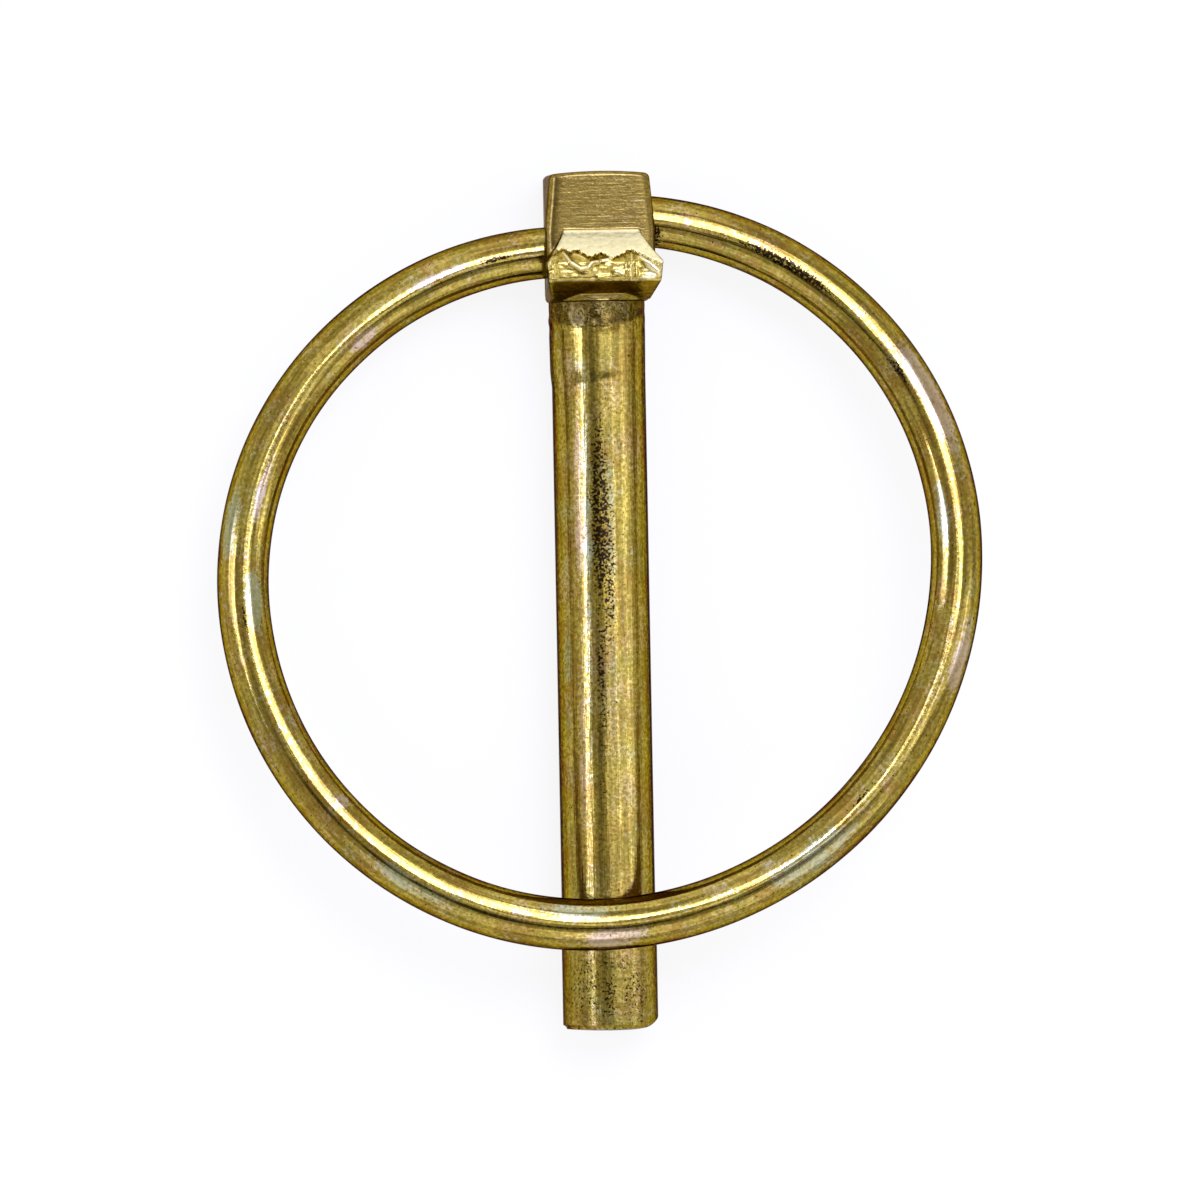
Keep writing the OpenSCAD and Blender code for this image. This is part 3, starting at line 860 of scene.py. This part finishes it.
def yellow_zinc(name, steel, forged):
    """The plating, read in millimetres from a swept wire's own coordinates or from the object's.
    Its colour starts from the crystals, and each layer over it has a share that follows a
    pattern. Forged adds what the dies, the file and the trimming tool left."""
    mat = bpy.data.materials.new(name)
    tree = empty_tree(mat)
    if forged:
        metres = add(tree, "ShaderNodeTexCoord").outputs["Object"]
        place = add(tree, "ShaderNodeVectorMath", {0: metres, "Scale": 1 / MM}, operation="SCALE")
    else:
        place = add(tree, "ShaderNodeAttribute", attribute_name="straight")
    place = place.outputs["Vector"]
    long = {0: place, 1: steel["lines"]}
    long = add(tree, "ShaderNodeVectorMath", long, operation="MULTIPLY").outputs["Vector"]

    # Crystals tilt and film over a little differently, lines follow the drawing, and the film
    # gathers in clouds where the parts touched in the barrel and the dip ran off
    crystals = {"Vector": place, "Scale": 1 / CRYSTAL, "Detail": 3.0, "Roughness": 0.6}
    crystals = add(tree, "ShaderNodeTexNoise", crystals).outputs[0]
    lined = {"Vector": long, "Scale": 1 / LINE, "Detail": 3.0, "Roughness": 0.55}
    lined = add(tree, "ShaderNodeTexNoise", lined).outputs[0]
    cloud = {"Vector": place, "Scale": 1 / steel["cloud"], "Detail": 3.0, "Roughness": 0.6}
    cloud = add(tree, "ShaderNodeTexNoise", cloud)
    clouds = add(tree, "ShaderNodeSeparateColor", {0: cloud.outputs["Color"]}).outputs
    cloud = cloud.outputs[0]
    pits = {"Vector": place, "Scale": 1 / PIT, "Detail": 1.0}
    pits = add(tree, "ShaderNodeTexNoise", pits).outputs[0]
    stains_and_shade = add(tree, "ShaderNodeAttribute", attribute_name="stain_and_shade").outputs["Vector"]
    pink, green, dark = add(tree, "ShaderNodeSeparateXYZ", {0: stains_and_shade}).outputs
    if forged:
        finish_and_painted_light = add(tree, "ShaderNodeAttribute", attribute_name="finish_and_painted_light").outputs["Vector"]
        pale, matt_and_shade, filed = add(tree, "ShaderNodeSeparateXYZ", {0: finish_and_painted_light}).outputs
        # Filing took the lines away
        lined = {0: filed, 1: 0.5, 2: lined}
        lined = add(tree, "ShaderNodeMath", lined, operation="MULTIPLY_ADD").outputs[0]

    # Lines show more where the film is thin; a peach shimmer keeps to single crystals; pits open
    # in the dark marks, most of which are painted shade and painted dark reflection; and pink and
    # green stains break up along crystals and clouds
    thin = {0: cloud, 1: -0.5, 2: lined}
    thin = add(tree, "ShaderNodeMath", thin, operation="MULTIPLY_ADD").outputs[0]
    shimmer = {0: clouds[2], 1: crystals}
    shimmer = add(tree, "ShaderNodeMath", shimmer, operation="MULTIPLY").outputs[0]
    pitted = {0: dark, 1: -0.31, 2: pits}
    pitted = add(tree, "ShaderNodeMath", pitted, operation="MULTIPLY_ADD").outputs[0]
    broken = {0: crystals, 1: 1.1, 2: clouds[0]}
    broken = add(tree, "ShaderNodeMath", broken, operation="MULTIPLY_ADD").outputs[0]
    pinker = {0: broken, 1: 2.0, 2: pink}
    pinker = add(tree, "ShaderNodeMath", pinker, operation="MULTIPLY_ADD").outputs[0]
    greener = {0: broken, 1: 2.0, 2: green}
    greener = add(tree, "ShaderNodeMath", greener, operation="MULTIPLY_ADD").outputs[0]

    # Layers of the film: where each lies, the pattern it follows, the pattern's range and the
    # share that it becomes, and colour. They are bright crystals, drawing lines, olive and amber
    # clouds, the peach shimmer, pink and green stains, and pits, which carry the painted shade and
    # painted dark reflections.
    layers = [
        (1.0, crystals, 0.34, 0.66, 0.5 - steel["crystals"], 0.5 + steel["crystals"], linear("#C9B04C")),
        (1.0, thin, 0.11, 0.27, steel["lined"], 0, linear("#5A450C")),
        (1.0, clouds[0], 0.45, 0.7, 0, 0.35, linear("#A39C3C")),
        (1.0, clouds[1], 0.48, 0.62, 0, steel["amber"], linear("#8A6424")),
        (1.0, shimmer, 0.275, 0.375, 0, 0.22, linear("#CFB196")),
        (1.0, pinker, 2.4, 3.1, 0, 0.5, linear(steel["pink"])),
        (1.0, greener, 2.4, 3.1, 0, 0.4, linear("#A9B79A")),
        (1.0, pitted, 0.25, 0.31, 1, 0, linear("#2A1C08")),
    ]
    rough = {0: cloud, 1: 0.35, 2: 0.65, 3: steel["rough"][0], 4: steel["rough"][1]}
    rough = add(tree, "ShaderNodeMapRange", rough).outputs[0]
    height = {0: crystals, 1: steel["crystal_height"]}
    height = add(tree, "ShaderNodeMath", height, operation="MULTIPLY").outputs[0]
    capped = add(tree, "ShaderNodeMath", {0: lined, 1: 0.8}, operation="MINIMUM").outputs[0]
    height = {0: capped, 1: steel["line_height"], 2: height}
    height = add(tree, "ShaderNodeMath", height, operation="MULTIPLY_ADD").outputs[0]
    rim = linear(RIM)
    if forged:
        # File marks run across the head, and scale from the dies is left on neck and tip
        across = {0: place, 1: (0.045, 1, 0.3)}
        across = add(tree, "ShaderNodeVectorMath", across, operation="MULTIPLY").outputs["Vector"]
        marks = {"Vector": across, "Scale": 1 / FILE_MARK, "Detail": 4.0, "Roughness": 0.65}
        marks = add(tree, "ShaderNodeTexNoise", marks).outputs[0]
        scale = {"Vector": place, "Scale": 1 / SCALE, "Detail": 3.0, "Roughness": 0.7}
        scale = add(tree, "ShaderNodeTexNoise", scale).outputs[0]
        # The pale places, partly painted highlight: gold where a little pale, cream where palest
        smooth = add(tree, "ShaderNodeMapRange", {0: pale, 1: 0.4, 2: 1, 3: 0, 4: 1}).outputs[0]
        bright = {0: smooth, 6: linear("#BFA546"), 7: linear("#FBEFB4")}
        bright = add(tree, "ShaderNodeMix", bright, data_type="RGBA").outputs[2]
        sheared = add(tree, "ShaderNodeMapRange", {0: pale, 1: 0, 2: 0.5, 3: 0, 4: 1}).outputs[0]
        # Scale, which also darkens the neck and the head's sides as painted shade; the filed head; the
        # valleys of its file marks; and the pale metal, partly painted highlight
        layers += [
            (matt_and_shade, scale, 0.4, 0.6, 0.9, 0.45, linear("#453610")),
            (1.0, filed, 0, 1, 0, 0.75, linear("#77612A")),
            (filed, marks, 0.38, 0.55, 0.45, 0, linear("#54421A")),
            (sheared, scale, 0.36, 0.5, 0.8, 1, bright),
        ]
        for where, duller in ((matt_and_shade, 0.2), (pale, 0.16)):
            rough = {0: where, 1: duller, 2: rough}
            rough = add(tree, "ShaderNodeMath", rough, operation="MULTIPLY_ADD").outputs[0]
        for where, pattern, depth in ((filed, marks, 0.6), (matt_and_shade, scale, 2.0)):
            added = add(tree, "ShaderNodeMath", {0: pattern, 1: where}, operation="MULTIPLY")
            height = {0: added.outputs[0], 1: depth, 2: height}
            height = add(tree, "ShaderNodeMath", height, operation="MULTIPLY_ADD").outputs[0]
        rim = {0: matt_and_shade, 6: linear(RIM), 7: linear(SCALY_RIM)}
        rim = add(tree, "ShaderNodeMix", rim, data_type="RGBA").outputs[2]

    film = linear("#6B5610")
    for where, pattern, low, high, low_share, high_share, colour in layers:
        share = {0: pattern, 1: low, 2: high, 3: low_share, 4: high_share}
        share = add(tree, "ShaderNodeMapRange", share).outputs[0]
        share = add(tree, "ShaderNodeMath", {0: where, 1: share}, operation="MULTIPLY").outputs[0]
        film = add(tree, "ShaderNodeMix", {0: share, 6: film, 7: colour}, data_type="RGBA").outputs[2]

    # The film lies over the metal as a faint clear coat, with a gloss of its own
    relief = {"Strength": 1.0, "Distance": RELIEF * MM, "Height": height}
    relief = add(tree, "ShaderNodeBump", relief).outputs[0]
    shader = add(tree, "ShaderNodeBsdfPrincipled", {
        "Base Color": film, "Metallic": 1.0, "Roughness": rough, "Specular Tint": rim,
        "Coat Weight": 0.02, "Coat Roughness": 0.08, "Coat IOR": 3.0, "Normal": relief})
    add(tree, "ShaderNodeOutputMaterial", {"Surface": shader.outputs[0]})
    return mat


# ---------------------------------------------------------------- the pin, whole

camera()
floor()
world()
for lamp in LAMPS:
    softbox(*lamp)

layout = ring_layout()
ring = snap_ring(layout)
pin = forged_pin(layout)
pin_zinc = yellow_zinc("yellow_zinc_on_forged_steel", FORGING, True)
wire_zinc = yellow_zinc("yellow_zinc_on_drawn_wire", WIRE, False)
for piece, body, node, slot, zinc in ((pin, "pin", "forged_pin", "plated_pin", pin_zinc),
                                      (ring, "ring", "snap_ring", "plated_wire", wire_zinc)):
    piece.data.materials.append(zinc)
    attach(piece, body)
    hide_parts(node)

bpy.context.scene.view_settings.view_transform = "Standard"
